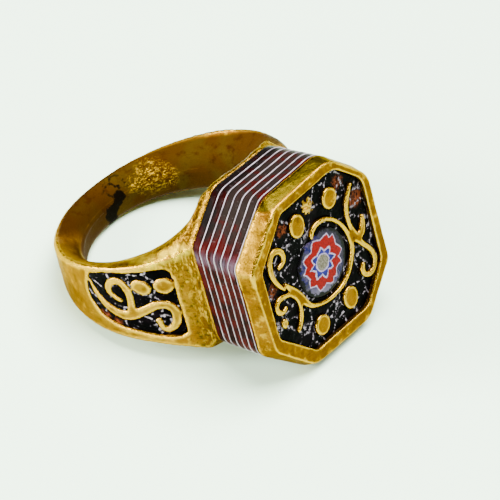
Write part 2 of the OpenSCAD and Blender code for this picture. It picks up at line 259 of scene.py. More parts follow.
# Bronze colours
BRIGHT = (0.44, 0.235, 0.010)
GOLD = (0.150, 0.061, 0.002)
# Painted light: a lighter gold for the near shoulder's flank, as if lit
NEAR_GOLD_PAINTED_LIGHT = (0.175, 0.086, 0.002)
DULL_GOLD = (0.092, 0.036, 0.001)
BROWN = (0.040, 0.016, 0.0006)
WALL_BROWN = (0.029, 0.0105, 0.0002)
WALL_GREY = (0.032, 0.017, 0.0006)
WALL_DARK = (0.018, 0.005, 0.0)
RUBBED = (0.66, 0.38, 0.010)
OLIVE = (0.035, 0.021, 0.001)
OLIVE_GOLD = (0.066, 0.046, 0.0012)
# Painted highlight along the near shoulder's upper ridge
RIDGE_PAINTED_HIGHLIGHT = (0.62, 0.42, 0.006)
FLANK_GOLD = (0.25, 0.128, 0.0006)
FACE_BROWN = (0.078, 0.030, 0.0015)
EDGE_TINT = (0.80, 0.58, 0.22)
STAIN = (0.0008, 0.0004, 0.0002)

# Zones of the bronze in millimetres on the ring: a mask is 0 at the first value and
# 1 at the second. A start or an end lies along head, a side along across and a level
# along finger
HOLE_WALL = (HOLE_R + 0.3, HOLE_R + 0.1)
DARK_WALL_SIDE = (1.5, -1.5)
BAND_TOP_REACH = (11.75, 11.3)
BAND_TOP_LEVEL = (0.1, 0.4)
BAND_TOP_END = (8.5, 7.0)
SHOULDER_TOP_START = (-9.0, -6.5)
SHOULDER_TOP_SIDE = (-2.0, -5.5)
NEAR_FLANK_START = (-5.5, -1.0)
NEAR_FLANK_END = (9.9, 6.5)
NEAR_FLANK_SIDE = (-7.2, -9.0)
NEAR_FLANK_LEVEL = (-3.6, -1.8)
COLLAR_START = (7.4, 8.4)
COLLAR_END = (10.1, 10.0)
FLECKS_END = (9.95, 9.4)
SCRATCHES_START = (4.5, 6.5)
SCRATCHES_LEVEL = (3.2, 4.0)
STACK_SIDE_START = (8.3, 9.3)
STACK_SIDE = (-7.0, -8.0)
LIP_START = (15.2, 15.4)
SEAM_END = (15.85, 15.7)
RELIEF_START = (15.9, 16.1)
UPPER_FLANK_END = (16.95, 16.75)
UPPER_FLANK_LEVEL = (8.75, 9.0)
HAMMERED_END = (17.0, 16.85)
HAMMERED_SIDE = (-5.0, -6.0)
HAMMERED_LEVEL = (4.3, 4.9)
NEAR_LIP_END = (17.0, 16.9)
NEAR_LIP_SIDE = (-7.6, -8.2)
RIM_START = (16.9, 17.0)

# Spots on the bronze, each a middle on the ring and a radius
RUBBED_SPOTS = [((-8.2, 5.1, 0.75), 1.3), ((-7.4, 6.1, 0.2), 0.9), ((-8.9, 3.9, 0.5), 0.8)]
STAIN_SPOTS = [
    ((-9.5, 0.35, -1.75), 0.62), ((-9.5, 0.2, -0.75), 0.72), ((-9.45, 0.8, -0.45), 0.55),
    ((-9.38, 1.4, -0.1), 0.5), ((-9.33, 1.75, 0.25), 0.6),
]
CRACKED_SPOT = ((-9.8, 1.9, 1.4), 1.4)
# Spots of the painted highlight along the near shoulder's upper ridge
RIDGE_HIGHLIGHT_SPOTS = [
    ((2.0, -10.4, 3.9), 0.35), ((3.0, -10.5, 4.3), 0.45), ((4.0, -10.5, 4.45), 0.5),
    ((5.0, -10.5, 4.55), 0.55), ((6.05, -10.4, 4.65), 0.6), ((7.1, -9.7, 5.0), 0.6),
    ((8.1, -9.1, 5.3), 0.6), ((9.0, -8.7, 5.55), 0.5),
]


def bronze_skin(paint):
    """What every part of the bronze paint reads: the place on the ring, noises and wear."""
    place = paint.ring_place()
    head, across, finger = paint.parts(place)
    edge = paint.edge()
    return SimpleNamespace(
        place=place, head=head, across=across, finger=finger,
        broad=paint.noise(place, 3.2, 2.0, 0.5, 1.0),
        mottle=paint.noise(place, 0.9, 4.0, 0.65, 2.0),
        grain=paint.noise(place, 0.14, 3.0, 0.6, 3.0),
        ragged=paint.noise(place, 0.5, 4.0, 0.7, 4.0),
        edge=edge,
        crest_wear_and_shade=paint.rise(edge, 0.004, 0.04),
        on_lip=paint.rise(head, *LIP_START),
    )


def wall_masks(paint, skin):
    """The wall of the finger hole, and that wall together with the band's upper edge.

    The near shoulder's upper edge is left out, because it is as golden as the outside.
    """
    flat = paint.step("ShaderNodeCombineXYZ", skin.head, skin.across, 0.0).outputs[0]
    from_axis = paint.vector_math("LENGTH", flat, output="Value")
    hole_wall = paint.rise(from_axis, *HOLE_WALL)
    near_shoulder = paint.times(
        paint.rise(skin.across, *SHOULDER_TOP_SIDE), paint.rise(skin.head, *SHOULDER_TOP_START),
    )
    upper_edge = paint.times(
        paint.rise(from_axis, *BAND_TOP_REACH), paint.rise(skin.finger, *BAND_TOP_LEVEL),
        paint.rest(near_shoulder), paint.rise(skin.head, *BAND_TOP_END),
    )
    return hole_wall, paint.any_of(hole_wall, upper_edge)


def rubbed_patch(paint, skin):
    """Streaks and specks of the wall that are rubbed bare."""
    streaky = paint.stretched(skin.place, (1.0, 0.7, 2.0))
    streaks = paint.rise(paint.noise(streaky, 0.34, 4.0, 0.75, 21.0), 0.49, 0.74)
    specks = paint.rise(paint.noise(skin.place, 0.16, 2.0, 0.6, 24.0), 0.62, 0.74)
    return paint.times(paint.spots(skin.place, RUBBED_SPOTS, 0.8), paint.any_of(streaks, specks))


def wall_tint(paint, skin, rubbed):
    """Brown, darker on the photo's left, with the rubbed patch."""
    tint = paint.mix(paint.rise(skin.broad, 0.4, 0.62), WALL_BROWN, WALL_GREY)
    tint = paint.mix(paint.rise(skin.mottle, 0.5, 0.7), tint, WALL_DARK)
    tint = paint.mix(paint.times(paint.rise(skin.across, *DARK_WALL_SIDE), 0.5), tint, WALL_DARK)
    return paint.mix(rubbed, tint, RUBBED)


def outside_tint(paint, skin):
    """Mottled gold, with painted light that makes the near shoulder's flank brighter."""
    tint = paint.mix(paint.rise(skin.broad, 0.35, 0.68), GOLD, DULL_GOLD)
    near_flank = paint.times(
        paint.rise(skin.across, *NEAR_FLANK_SIDE), paint.rise(skin.head, *NEAR_FLANK_END),
        paint.rise(skin.finger, *NEAR_FLANK_LEVEL), paint.rise(skin.head, *NEAR_FLANK_START),
    )
    # Painted light: the near shoulder's flank is made a lighter gold
    tint = paint.mix(paint.times(near_flank, paint.rise(skin.broad, 0.7, 0.4)), tint, NEAR_GOLD_PAINTED_LIGHT)
    tint = paint.mix(paint.times(paint.rise(skin.mottle, 0.5, 0.72), 0.8), tint, BROWN)
    return paint.mix(paint.times(paint.rise(skin.mottle, 0.44, 0.3), 0.6), tint, BRIGHT)


def wear_and_painted_shade_tint(paint, skin, wall, tint):
    """Bright crests and olive hollows. A crest on the wall gets painted shade instead, which darkens the
    highlight along it.
    """
    bare = paint.blend(paint.rise(skin.head, *RELIEF_START), 0.85, 0.4)
    bare = paint.times(bare, paint.rest(wall))
    tint = paint.mix(paint.times(skin.crest_wear_and_shade, bare), tint, BRIGHT)
    # Painted shade: the crest along the wall's rounded upper edge is darkened against its highlight
    tint = paint.mix(paint.times(skin.crest_wear_and_shade, wall, 0.55), tint, WALL_DARK)
    return paint.mix(paint.rise(skin.edge, -0.012, -0.045), tint, OLIVE)


def black_stain(paint, skin, shake):
    """Black stain and fine dark cracks on the wall of the hole."""
    stains = [
        paint.ragged_spot(skin.place, middle, radius, shake, 0.1, 0.0)
        for middle, radius in STAIN_SPOTS
    ]
    net = paint.cracks(paint.moved(skin.place, skin.ragged, 0.0, skin.ragged), 1.0)
    crack = paint.times(
        paint.rise(net, 0.13, 0.05), paint.spot(skin.place, *CRACKED_SPOT, 0.3),
        paint.rise(skin.ragged, 0.44, 0.54),
    )
    return paint.any_of(*stains, crack)


def upper_lip_tint(paint, skin, shake, tint):
    """Olive on the lip's upper flank, with a ragged black seam along the stack."""
    upper_flank = paint.times(skin.on_lip, paint.rise(skin.finger, *UPPER_FLANK_LEVEL))
    olive = paint.times(upper_flank, paint.rise(skin.head, *UPPER_FLANK_END))
    tint = paint.mix(olive, tint, OLIVE_GOLD)
    seam = paint.rise(paint.math("ADD", skin.head, paint.times(shake, 0.6)), *SEAM_END)
    return paint.mix(paint.times(seam, upper_flank), tint, STAIN)


def hammered_flank(paint, skin):
    """The lip's flank that is hammered and rubbed bright."""
    return paint.times(
        skin.on_lip, paint.rise(skin.across, *HAMMERED_SIDE), paint.rise(skin.finger, *HAMMERED_LEVEL),
        paint.blend(paint.rise(skin.mottle, 0.68, 0.5), 0.45, 1.0),
        paint.rise(skin.head, *HAMMERED_END),
    )


def rim_tint(paint, skin, tint):
    """Browner patches on the flat rim, and bright sharp edges on the whole cap."""
    on_rim = paint.rise(skin.head, *RIM_START)
    tint = paint.mix(paint.times(on_rim, paint.rise(skin.mottle, 0.36, 0.6)), tint, FACE_BROWN)
    sharp_edge = paint.times(paint.rise(skin.edge, 0.012, 0.05), skin.on_lip)
    return paint.mix(sharp_edge, tint, BRIGHT)


def pitted_metal(paint, skin, collar):
    """Small pits on the collar and on the lip's near flank."""
    near_lip = paint.times(
        skin.on_lip, paint.rise(skin.across, *NEAR_LIP_SIDE), paint.rise(skin.head, *NEAR_LIP_END),
    )
    pits = paint.rise(paint.noise(skin.place, 0.2, 3.0, 0.65, 22.0), 0.55, 0.64)
    return paint.times(pits, paint.any_of(collar, near_lip))


def collar_flecks(paint, skin, collar):
    """Dark flecks on the collar beside the stack."""
    zone = paint.times(collar, paint.rise(skin.head, *FLECKS_END))
    return paint.times(paint.rise(paint.noise(skin.place, 0.35, 3.0, 0.7, 5.0), 0.52, 0.64), zone)


def scratched_tint(paint, skin, hole_wall, tint):
    """Brown metal with bright hair scratches, on the shoulder's top and beside the stack."""
    hair_place = paint.stretched(skin.place, (1.0, 1.0, 0.35))
    hair = paint.rise(paint.noise(hair_place, 0.22, 3.0, 0.7, 25.0), 0.5, 0.62)
    top = paint.times(
        paint.rise(skin.finger, *SCRATCHES_LEVEL), paint.rise(skin.head, *SCRATCHES_START),
    )
    beside_stack = paint.times(
        paint.rise(skin.head, *STACK_SIDE_START), paint.rise(skin.across, *STACK_SIDE),
    )
    zone = paint.any_of(top, paint.times(beside_stack, 0.85))
    zone = paint.times(zone, paint.rise(skin.head, *COLLAR_END), paint.rest(hole_wall))
    tint = paint.mix(paint.times(zone, 0.55), tint, BROWN)
    return paint.mix(paint.times(zone, paint.times(hair, 0.8)), tint, BRIGHT)


def painted_ridge_highlight(paint, skin, tint):
    """A painted highlight along the near shoulder's upper ridge."""
    ridge = paint.spots(skin.place, RIDGE_HIGHLIGHT_SPOTS, 0.9)
    ridge = paint.times(ridge, paint.rise(skin.mottle, 0.66, 0.46))
    return paint.mix(paint.times(ridge, 0.75), tint, RIDGE_PAINTED_HIGHLIGHT)


def bronze_bump(paint, skin, pitted):
    """Rough cast skin with pits and long scratches."""
    height = paint.math("ADD", paint.times(skin.mottle, 0.5), paint.times(skin.grain, 0.25))
    height = paint.math("SUBTRACT", height, paint.times(pitted, 0.35))
    scratch_place = paint.stretched(skin.place, (0.5, 0.5, 4.0))
    scratch = paint.rise(paint.noise(scratch_place, 0.4, 3.0, 0.7, 23.0), 0.56, 0.7)
    height = paint.math("SUBTRACT", height, paint.times(scratch, 0.22))
    paint.bump(height, 0.8, 0.11)


def bronze_roughness(paint, skin, wall, rubbed, stain, hammered):
    """Worn and rubbed metal is smooth, the wall is rough and the stain is dull."""
    shine = paint.any_of(skin.crest_wear_and_shade, paint.times(rubbed, 0.6))
    rough = paint.blend(shine, paint.blend(wall, 0.34, 0.78), 0.26)
    rough = paint.math("ADD", rough, paint.swing(skin.grain, 0.25))
    return paint.any_of(rough, paint.times(stain, 0.9), paint.times(hammered, 0.42))


def cast_bronze():
    """Worn cast bronze with a brown wall in the hole."""
    paint = Paint("cast bronze")
    skin = bronze_skin(paint)
    hole_wall, wall = wall_masks(paint, skin)
    collar = paint.times(paint.rise(skin.head, *COLLAR_START), paint.rise(skin.head, *COLLAR_END))
    shake = paint.swing(skin.ragged, 0.8)
    rubbed = rubbed_patch(paint, skin)
    stain = black_stain(paint, skin, shake)
    hammered = hammered_flank(paint, skin)
    pitted = pitted_metal(paint, skin, collar)

    tint = paint.mix(wall, outside_tint(paint, skin), wall_tint(paint, skin, rubbed))
    tint = wear_and_painted_shade_tint(paint, skin, wall, tint)
    tint = paint.mix(stain, tint, STAIN)
    tint = upper_lip_tint(paint, skin, shake, tint)
    tint = paint.mix(hammered, tint, FLANK_GOLD)
    tint = rim_tint(paint, skin, tint)
    tint = paint.mix(collar_flecks(paint, skin, collar), tint, OLIVE)
    tint = paint.mix(paint.times(pitted, 0.6), tint, BROWN)
    tint = scratched_tint(paint, skin, hole_wall, tint)
    # Painted highlight along the near shoulder's upper ridge
    tint = painted_ridge_highlight(paint, skin, tint)

    bronze_bump(paint, skin, pitted)
    rough = bronze_roughness(paint, skin, wall, rubbed, stain, hammered)
    metal = paint.blend(paint.times(wall, paint.rest(rubbed)), 1.0, 0.28)
    metal = paint.blend(stain, metal, 0.1)
    return paint.finish(
        Base_Color=tint, Metallic=metal, Roughness=rough,
        Specular_IOR_Level=0.05, Specular_Tint=EDGE_TINT,
    )


# Colours of the stack
MAROON = (0.022, 0.0009, 0.0006)
MAROON_BLACK = (0.003, 0.0004, 0.0003)
RED_STREAK = (0.036, 0.0020, 0.0014)
# Painted reflection: grey on the flank of the layers that looks up
GREY_PAINTED_REFLECTION = (0.0085, 0.0058, 0.0050)
FIRST_LAYER = (0.0012, 0.0008, 0.0008)
# Painted reflection: lilac-grey at the near top corner of the layers
LILAC_PAINTED_REFLECTION = (0.06, 0.042, 0.062)
SCRATCH_GREY = (0.12, 0.095, 0.105)
LINE_WHITE = (0.34, 0.29, 0.34)
LINE_GREY = (0.15, 0.12, 0.15)

# Zones of the stack in millimetres on the ring, as for the bronze
UPWARD_FLANK = (1.0, 4.0)
FIRST_LAYERS_END = (12.2, 11.0)
CORNER_LEVEL = 4.9
CORNER_WIDTH = (1.1, 0.1)


def dark_layer():
    """Polished dark layer: maroon with black patches, and pale painted reflections on its upper flank and
    at its near top corner.
    """
    paint = Paint("dark layer")
    place = paint.ring_place()
    head, across, finger = paint.parts(place)
    patch = paint.noise(place, 1.6, 3.0, 0.6, 6.0)
    streak = paint.noise(paint.stretched(place, (2.2, 0.45, 0.45)), 1.0, 3.0, 0.6, 7.0)
    tint = paint.mix(paint.rise(patch, 0.42, 0.6), MAROON, MAROON_BLACK)
    tint = paint.mix(paint.rise(streak, 0.55, 0.75), tint, RED_STREAK)
    # The flank that looks up is greyer with a painted reflection, and its first layers are the darkest
    upper = paint.rise(paint.math("ADD", paint.times(across, 0.55), finger), *UPWARD_FLANK)
    upper_painted_reflection = paint.times(upper, paint.rise(patch, 0.34, 0.5))
    tint = paint.mix(paint.times(upper_painted_reflection, 0.92), tint, GREY_PAINTED_REFLECTION)
    first = paint.times(upper, paint.rise(head, *FIRST_LAYERS_END))
    tint = paint.mix(paint.times(first, 0.8), tint, FIRST_LAYER)
    # A lilac-grey painted reflection crosses the layers at the near top corner
    from_corner = paint.math("ABSOLUTE", paint.math("SUBTRACT", finger, CORNER_LEVEL))
    corner_painted_reflection = paint.times(
        paint.rise(from_corner, *CORNER_WIDTH), paint.rise(across, *STACK_SIDE),
        paint.rise(streak, 0.35, 0.6),
    )
    tint = paint.mix(paint.times(corner_painted_reflection, 0.7), tint, LILAC_PAINTED_REFLECTION)
    scratches = paint.noise(paint.stretched(place, (0.5, 2.6, 2.6)), 0.35, 2.0, 0.6, 8.0)
    tint = paint.mix(paint.times(paint.rise(scratches, 0.66, 0.74), 0.35), tint, SCRATCH_GREY)
    paint.bump(paint.noise(place, 0.25, 3.0, 0.6, 9.0), 0.3, 0.03)
    rough = paint.blend(paint.rise(patch, 0.35, 0.65), 0.2, 0.38)
    return paint.finish(Base_Color=tint, Roughness=rough, Specular_IOR_Level=0.01)


def white_line():
    paint = Paint("white line")
    grey = paint.noise(paint.ring_place(), 1.2, 3.0, 0.6, 10.0)
    tint = paint.mix(paint.rise(grey, 0.35, 0.7), LINE_WHITE, LINE_GREY)
    return paint.finish(Base_Color=tint, Roughness=0.5)


# Colours of the enamel
ENAMEL_BLACK = (0.0002, 0.0001, 0.0002)
ENAMEL_MURKY = (0.0022, 0.0010, 0.0018)
DUST = (0.36, 0.30, 0.37)
RED_RESIDUE = (0.09, 0.02, 0.006)
DROP_GOLD = (0.4, 0.2, 0.01)

# Reddish residue on the enamel, each a middle on the ring and a radius
RESIDUE_SPOTS = [
    ((16.5, 4.6, 6.3), 0.5), ((16.5, 6.3, 3.4), 0.7), ((16.5, -6.6, 1.4), 0.5),
    ((16.5, -3.6, 6.2), 0.45), ((-0.03, -11.9, -2.0), 0.45), ((1.1, -11.86, -2.65), 0.5),
]

# The rough drop of bronze on the enamel: place on the ring and size
DROP_PLACE = Vector((16.6, 0.2, 6.45))
DROP_R = 0.62
DROP_SPREAD = 1.3
DROP_HEIGHT = 0.3


def enamel_dust(paint, place, ragged, broad):
    """Fine pale lines and specks."""
    net = paint.cracks(paint.moved(place, ragged, ragged, broad), 2.1)
    line = paint.times(paint.rise(net, 0.05, 0.015), paint.rise(ragged, 0.5, 0.58))
    speck = paint.rise(paint.noise(place, 0.16, 2.0, 0.6, 13.0), 0.71, 0.76)
    return paint.times(paint.any_of(line, paint.times(speck, 0.6)), 0.75)


def black_enamel():
    """Black enamel with dust, fine pale cracks, reddish residue and one rough drop of bronze."""
    paint = Paint("black enamel")
    place = paint.ring_place()
    ragged = paint.noise(place, 0.4, 4.0, 0.7, 11.0)
    broad = paint.noise(place, 1.8, 3.0, 0.6, 12.0)
    dust = enamel_dust(paint, place, ragged, broad)
    tint = paint.mix(paint.rise(broad, 0.5, 0.7), ENAMEL_BLACK, ENAMEL_MURKY)
    tint = paint.mix(dust, tint, DUST)
    shake = paint.swing(ragged, 2.2)
    masks = [
        paint.ragged_spot(place, middle, radius, shake, 0.35, 0.1)
        for middle, radius in RESIDUE_SPOTS
    ]
    broken = paint.rise(paint.noise(place, 0.22, 3.0, 0.7, 18.0), 0.42, 0.56)
    tint = paint.mix(paint.times(paint.any_of(*masks), broken), tint, RED_RESIDUE)
    drop = paint.ragged_spot(place, DROP_PLACE, DROP_R, shake, 0.15, 0.1)
    tint = paint.mix(drop, tint, DROP_GOLD)
    paint.bump(paint.math("ADD", ragged, dust), 0.5, 0.07)
    rough = paint.any_of(paint.times(dust, 0.6), paint.blend(broad, 0.15, 0.45))
    return paint.finish(Base_Color=tint, Metallic=drop, Roughness=rough, Specular_IOR_Level=0.006)


# The glass disc's pattern: columns are the direction in degrees from across
# towards the finger's way, and the distance from the middle
GLASS_MIDDLE = (0.19, 0.26)
STAR = [(-163, 1.12), (-137, 1.65), (-113, 1.1), (-89, 1.7), (-67, 1.1), (-46, 1.6), (-27, 1.05),
        (-9, 1.7), (14, 1.1), (36, 1.55), (60, 1.05), (84, 1.5), (112, 1.05), (141, 1.6), (159, 1.1),
        (176, 1.75)]
BURST = [(-162, 2.1), (-149, 2.65), (-131, 2.2), (-114, 2.75), (-95, 2.2), (-76, 2.75), (-68, 2.35),
         (-61, 2.7), (-46, 2.15), (-31, 2.7), (-18, 2.2), (-6, 2.8), (16, 2.25), (39, 2.75), (49, 2.35),
         (59, 2.7), (80, 2.2), (101, 2.6), (123, 2.1), (146, 2.75), (161, 2.2), (176, 2.6)]
GLASS_REACH = 4.0
# The pale core's edge, the white ring round it, and where the enamel's black starts
CORE_EDGE = (0.79, 0.73)
RING_R = 0.83
BLACK_START = (2.9, 3.05)
# Half widths of the white lines, and how softly a colour ends at the star and the burst
BURST_LINE = 0.055
STAR_LINE = 0.09
RING_LINE = 0.06
INSIDE = (0.03, -0.03)

# Colours of the glass. Each pair is mixed by noise, and the blue by the distance from the middle
RED_GLASS = ((0.17, 0.0005, 0.0006), (0.075, 0.0005, 0.0006))
BLUE_GLASS = ((0.012, 0.010, 0.13), (0.003, 0.0025, 0.05))
WHITE_GLASS = ((0.32, 0.26, 0.38), (0.17, 0.13, 0.23))
CORE_GLASS = ((0.06, 0.05, 0.036), (0.14, 0.12, 0.095))
OUTER_GLASS = ((0.004, 0.003, 0.045), (0.035, 0.027, 0.06))
OUTER_DIM = (0.02, 0.017, 0.03)
OUTER_PALE = (0.17, 0.13, 0.20)
OUTER_DARK_SIDE = (0.012, 0.009, 0.015)
OUTER_PALE_SIDE = (0.11, 0.09, 0.14)
RUN_OVER_BLACK = (0.001, 0.0008, 0.001)


def boundary(paint, angle, rows):
    """Distance from the disc's middle to a jagged edge in each direction."""
    node = paint.step("ShaderNodeFloatCurve")
    curve = node.mapping.curves[0]
    points = [((turn + 180) / 360, reach / GLASS_REACH) for turn, reach in rows]
    ends = (points[0][1] + points[-1][1]) / 2
    points = [(0.0, ends), *points, (1.0, ends)]
    while len(curve.points) < len(points):
        curve.points.new(0.5, 0.5)
    for point, (across, up) in zip(curve.points, points):
        point.location = (across, up)
        point.handle_type = "VECTOR"
    node.mapping.update()
    paint.feed(node.inputs["Value"], angle)
    return paint.times(node.outputs[0], GLASS_REACH)


def outer_glass(paint, x, y, turn, away, wander, fine):
    """The streaked blue and lilac glass round the burst, darker on one side."""
    streak_place = paint.step("ShaderNodeCombineXYZ", turn, away, 0.0).outputs[0]
    streaks = paint.noise(paint.stretched(streak_place, (34.0, 1.1, 1.0)), 1.0, 3.0, 0.6, 16.0)
    tint = paint.mix(paint.rise(streaks, 0.4, 0.62), *OUTER_GLASS)
    tint = paint.mix(paint.rise(wander, 0.45, 0.65), tint, OUTER_DIM)
    tint = paint.mix(paint.rise(fine, 0.6, 0.75), tint, OUTER_PALE)
    dark_side = paint.rise(paint.math("ADD", x, paint.times(y, 0.5)), 0.6, 2.2)
    tint = paint.mix(paint.times(dark_side, 0.8), tint, OUTER_DARK_SIDE)
    pale_side = paint.rise(paint.math("ADD", paint.times(x, 0.3), y), -1.8, -2.9)
    return paint.mix(paint.times(pale_side, 0.6), tint, OUTER_PALE_SIDE)


def line_at(paint, distance, half):
    """1 on a line of that half width and 0 away from it."""
    return paint.rise(paint.math("ABSOLUTE", distance), half + 0.05, half - 0.03)


def patterned_glass():
    """A blue star in a red burst, each with a white edge, on streaked glass."""
    paint = Paint("patterned glass")
    place = paint.ring_place()
    wander = paint.noise(place, 0.55, 2.0, 0.5, 14.0)
    fine = paint.noise(place, 0.2, 3.0, 0.6, 15.0)
    _, across, finger = paint.parts(place)
    sway = paint.swing(wander, 0.35)
    x = paint.math("ADD", paint.math("SUBTRACT", across, GLASS_MIDDLE[0]), sway)
    y = paint.math("SUBTRACT", paint.math("SUBTRACT", finger, GLASS_MIDDLE[1]), sway)
    turn = paint.math("ADD", paint.math("DIVIDE", paint.math("ARCTAN2", y, x), 2 * math.pi), 0.5)
    away = paint.math("SQRT", paint.math("ADD", paint.times(x, x), paint.times(y, y)))
    to_star = paint.math("SUBTRACT", away, boundary(paint, turn, STAR))
    to_burst = paint.math("SUBTRACT", away, boundary(paint, turn, BURST))

    red = paint.mix(paint.rise(fine, 0.35, 0.7), *RED_GLASS)
    blue = paint.mix(paint.rise(away, 0.8, 1.5), *BLUE_GLASS)
    white = paint.mix(paint.rise(fine, 0.35, 0.65), *WHITE_GLASS)
    core = paint.mix(paint.rise(fine, 0.4, 0.65), *CORE_GLASS)
    tint = outer_glass(paint, x, y, turn, away, wander, fine)
    tint = paint.mix(paint.rise(to_burst, *INSIDE), tint, red)
    tint = paint.mix(line_at(paint, to_burst, BURST_LINE), tint, white)
    tint = paint.mix(paint.rise(to_star, *INSIDE), tint, blue)
    tint = paint.mix(line_at(paint, to_star, STAR_LINE), tint, white)
    to_ring_line = paint.math("SUBTRACT", away, RING_R)
    tint = paint.mix(line_at(paint, to_ring_line, RING_LINE), tint, white)
    tint = paint.mix(paint.rise(away, *CORE_EDGE), tint, core)
    # Black from the enamel round it has run over the edge
    ragged = paint.noise(place, 0.45, 3.0, 0.7, 17.0)
    reach = paint.math("ADD", away, paint.swing(ragged, 1.5))
    tint = paint.mix(paint.rise(reach, *BLACK_START), tint, RUN_OVER_BLACK)
    paint.bump(fine, 0.12, 0.03)
    return paint.finish(Base_Color=tint, Roughness=0.3, Specular_IOR_Level=0.03)


BRONZE = cast_bronze()
DARK_LAYER = dark_layer()
WHITE_LINE = white_line()
ENAMEL = black_enamel()
GLASS = patterned_glass()


# Pieces


def bake(piece):
    """Gives a piece the mesh that its modifiers make, and removes them."""
    graph = bpy.context.evaluated_depsgraph_get()
    made = bpy.data.meshes.new_from_object(piece.evaluated_get(graph))
    piece.modifiers.clear()
    piece.data = made


# Points of a solid closer than this are one point
WELD = 0.001


def soft_copy(name, node, cell, rounds):
    """A CAD solid again with an even skin and rounded edges, in millimetres on the ring."""
    mesh = frame["nodes"][node].data.copy()
    mesh.materials.clear()
    write_points(mesh, to_ring(read_points(mesh)))
    welded = bmesh.new()
    welded.from_mesh(mesh)
    bmesh.ops.remove_doubles(welded, verts=welded.verts, dist=WELD)
    welded.to_mesh(mesh)
    welded.free()
    piece = add_object(name, mesh)
    guide = add_object("guide", mesh.copy())
    skin = piece.modifiers.new("even skin", "REMESH")
    skin.mode = "VOXEL"
    skin.voxel_size = cell
    onto_faces = piece.modifiers.new("onto the faces", "SHRINKWRAP")
    onto_faces.wrap_method = "NEAREST_SURFACEPOINT"
    onto_faces.target = guide
    soften = piece.modifiers.new("soft edges", "SMOOTH")
    soften.factor = 0.5
    soften.iterations = rounds
    bake(piece)
    bpy.data.objects.remove(guide)
    return piece


def lumps(points, size, seed):
    """Smooth noise from -1 to 1 at each point, with features of that size in millimetres."""
    shift = Vector((7.3, -3.1, 5.9)) * seed
    return np.array([noise.noise(Vector(point) / size + shift) for point in points])


def added_lumps(points, rows, base=0.0):
    """A base height with lumpy layers on it, each given as height, size and seed."""
    return sum((height * lumps(points, size, seed) for height, size, seed in rows), base)


def skin_normals(mesh):
    normals = np.empty(len(mesh.vertices) * 3)
    mesh.vertex_normals.foreach_get("vector", normals)
    return normals.reshape(-1, 3)


def evened(mesh, points, rounds, share=0.5):
    """The points, each moved that share of the way to the middle of its neighbours in each round."""
    ends = np.empty(len(mesh.edges) * 2, dtype=np.int64)
    mesh.edges.foreach_get("vertices", ends)
    one, other = ends.reshape(-1, 2).T
    count = len(points)
    neighbours = np.bincount(one, minlength=count) + np.bincount(other, minlength=count)
    even = points.copy()
    for _ in range(rounds):
        for axis in range(3):
            total = np.bincount(one, even[other, axis], count) + np.bincount(other, even[one, axis], count)
            even[:, axis] += share * (total / neighbours - even[:, axis])
    return even


# How widely a point's surroundings are evened to find how far it stands out
EDGE_ROUNDS = 14


def mark_edges(mesh, rounds):
    """Stores how far each point stands out from its surroundings, for the wear in the paint."""
    points = read_points(mesh)
    stands_out = ((points - evened(mesh, points, rounds)) * skin_normals(mesh)).sum(axis=1)
    mesh.attributes.new("edge", "FLOAT", "POINT").data.foreach_set("value", stands_out)


def above(values, limit, fade):
    """0 up to a limit and 1 from a fade beyond it."""
    return np.clip((values - limit) / fade, 0, 1)


def below(values, limit, fade):
    """0 from a limit on and 1 a fade before it."""
    return np.clip((limit - values) / fade, 0, 1)


def near(points, middle, radius):
    """1 at a place on the ring, falling to 0 at a radius."""
    away = np.linalg.norm(points - np.array(middle), axis=1) / radius
    return np.clip(1 - away * away, 0, 1)


def near_line(points, start, end, radius):
    """1 on the line between two places on the ring, falling to 0 at a radius."""
    start, along = np.array(start), np.array(end) - np.array(start)
    share = np.clip((points - start) @ along / (along @ along), 0, 1)
    away = np.linalg.norm(points - start - share[:, None] * along, axis=1) / radius
    return np.clip(1 - away * away, 0, 1)


def finish_piece(piece, material, slot, *nodes):
    """Moves a piece from the ring's millimetres to the world and hands it to the frame."""
    write_points(piece.data, to_world(read_points(piece.data)))
    piece.data.materials.clear()
    piece.data.materials.append(material)
    piece.data.shade_smooth()
    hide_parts(*nodes)
    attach(piece, "root")


# The shank: size of its skin's cells and rounds of softening
SHANK_CELL = 0.14
SHANK_ROUNDS = 4
# Points this near the wall of the hole are eased onto one smooth cylinder
WALL_BLEND = 0.06
# The parts of the band that are evened, from the hole's axis and along head: limit and fade
BAND_REACH = (11.6, 0.5)
BAND_INNER_REACH = (11.3, 0.6)
BAND_END = (8.6, 0.8)
# Rounds and share of the evening, for the band and again for its upper inner part
BAND_EVENING = (24, 0.6)
UPPER_EVENING = (260, 0.8)
# The wall under the head, where the solid has a shallow strip on each side
UNDER_HEAD_START = 8.2
STRIP_DEPTH = 0.4
STRIP_TOP = (8.4, 0.8)
STRIP_BOTTOM = (-6.6, 0.6)
# Lumps of the cast skin: height, size and seed
SHANK_LUMPS = ((0.03, 2.6, 1), (0.014, 0.7, 2))
# The collar is rougher: where it starts along head, and its lumps' height, size and seed
COLLAR_LUMPS_START = (6.5, 2)
COLLAR_ROUGH = 0.03
COLLAR_LUMPS = (0.55, 3)


def distance_from_axis(points):
    return np.linalg.norm(points[:, :2], axis=1)


def onto_cylinder(points):
    """Eases the points next to the wall of the hole onto one smooth cylinder."""
    from_axis = distance_from_axis(points)
    beyond = np.maximum(from_axis - HOLE_R, 0)
    share = np.clip(beyond / WALL_BLEND, 0, 1)
    points[:, :2] *= ((HOLE_R + beyond * share * (2 - share)) / from_axis)[:, None]


def fill_under_head(points):
    """Fills the shallow strips in the wall under the head."""
    from_axis = distance_from_axis(points)
    under_head = (points[:, 0] > UNDER_HEAD_START) & (from_axis < HOLE_R + STRIP_DEPTH)
    share = under_head * below(points[:, 2], *STRIP_TOP) * above(points[:, 2], *STRIP_BOTTOM)
    points[:, :2] *= (1 + share * (HOLE_R / from_axis - 1))[:, None]


